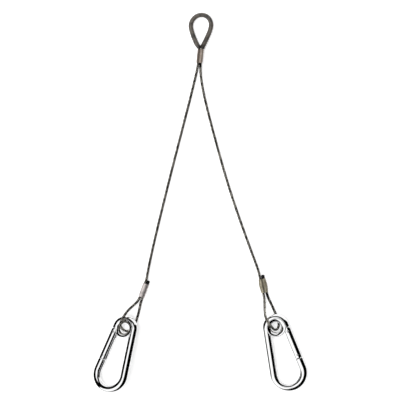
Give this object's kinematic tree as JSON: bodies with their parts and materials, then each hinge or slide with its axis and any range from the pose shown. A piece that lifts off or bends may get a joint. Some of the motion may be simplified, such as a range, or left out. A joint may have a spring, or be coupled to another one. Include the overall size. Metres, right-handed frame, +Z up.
{
  "type": "wire rope sling",
  "caption": "Two-leg wire rope sling with a hose-covered top eye, pressed ferrules and a snap hook with a sprung gate on each leg.",
  "frame": {"origin": "centre of the base of the sling's box without its rope legs and loops, on the surface that it lies on", "axes": "+Y towards the top eye, +X towards the right leg, +Z up from the surface that it lies on"},
  "size_m": [0.1623, 0.2878, 0.0154],
  "materials": {
    "wire_rope": "galvanised stranded wire",
    "eye_hose": "matt, slightly dusty hose",
    "ferrule": "pressed, dull",
    "hook_steel": "bright zinc plated and polished",
    "pin_steel": "plain bright",
    "spring_steel": "drawn spring wire",
    "tail_cap": "black shrunk cap"
  },
  "bodies": {
    "root": {"eye_sleeve": "eye_hose", "eye_rope": "wire_rope", "top_ferrule": "ferrule"},
    "left_leg": {"left_leg_rope": "wire_rope", "left_ferrule": "ferrule", "left_loop_rope": "wire_rope", "left_tail_cap": "tail_cap"},
    "left_hook": {"left_hook_body": "hook_steel", "left_hook_eyelet": "hook_steel", "left_hinge_rivet": "pin_steel"},
    "left_gate_lever": {"left_gate": "hook_steel", "left_latch_pin": "pin_steel", "left_gate_spring": "spring_steel"},
    "left_plunger": {"left_gate_plunger": "pin_steel"},
    "right_leg": {"right_leg_rope": "wire_rope", "right_ferrule": "ferrule", "right_loop_rope": "wire_rope", "right_tail_cap": "tail_cap"},
    "right_hook": {"right_hook_body": "hook_steel", "right_hook_eyelet": "hook_steel", "right_hinge_rivet": "pin_steel"},
    "right_gate_lever": {"right_gate": "hook_steel", "right_latch_pin": "pin_steel", "right_gate_spring": "spring_steel"},
    "right_plunger": {"right_gate_plunger": "pin_steel"}
  },
  "joints": [
    {"name": "left_leg_swing", "type": "hinge", "parent": "root", "child": "left_leg", "pos_m": [-0.00189, 0.10461, 0.00155], "axis": [0, 0, -1], "range_deg": [-4, 45]},
    {"name": "left_hook_swing", "type": "hinge", "parent": "left_leg", "child": "left_hook", "pos_m": [-0.0572, -0.0957, 0.00605], "axis": [0.3904, -0.1669, -0.9054], "range_deg": [-12, 60]},
    {"name": "left_gate_swing", "type": "hinge", "parent": "left_hook", "child": "left_gate_lever", "pos_m": [-0.06558, -0.09855, 0.00296], "axis": [-0.3904, 0.1669, 0.9054], "range_deg": [0, 28], "stiffness_Nm_per_rad": 0.08, "springref_deg": -20.05},
    {"name": "left_plunger_slide", "type": "slide", "parent": "left_gate_lever", "child": "left_plunger", "axis": [-0.4031, -0.9152, -0.0051], "range_m": [0, 0.0006], "deforming": ["left_gate_spring"]},
    {"name": "right_leg_swing", "type": "hinge", "parent": "root", "child": "right_leg", "pos_m": [-0.00031, 0.10445, 0.00314], "axis": [0, 0, 1], "range_deg": [-4, 45]},
    {"name": "right_hook_swing", "type": "hinge", "parent": "right_leg", "child": "right_hook", "pos_m": [0.057, -0.0947, 0.0056], "axis": [0.0159, -0.057, 0.9983], "range_deg": [-12, 60]},
    {"name": "right_gate_swing", "type": "hinge", "parent": "right_hook", "child": "right_gate_lever", "pos_m": [0.06594, -0.09751, 0.0053], "axis": [-0.0159, 0.057, -0.9983], "range_deg": [0, 28], "stiffness_Nm_per_rad": 0.08, "springref_deg": -20.05},
    {"name": "right_plunger_slide", "type": "slide", "parent": "right_gate_lever", "child": "right_plunger", "axis": [0.379, -0.9235, -0.0587], "range_m": [0, 0.0006], "deforming": ["right_gate_spring"]}
  ],
  "couplings": [
    {"joint": "left_plunger_slide", "follows": "left_gate_swing", "m_per_rad": 0.0009},
    {"joint": "right_plunger_slide", "follows": "right_gate_swing", "m_per_rad": 0.0009}
  ]
}
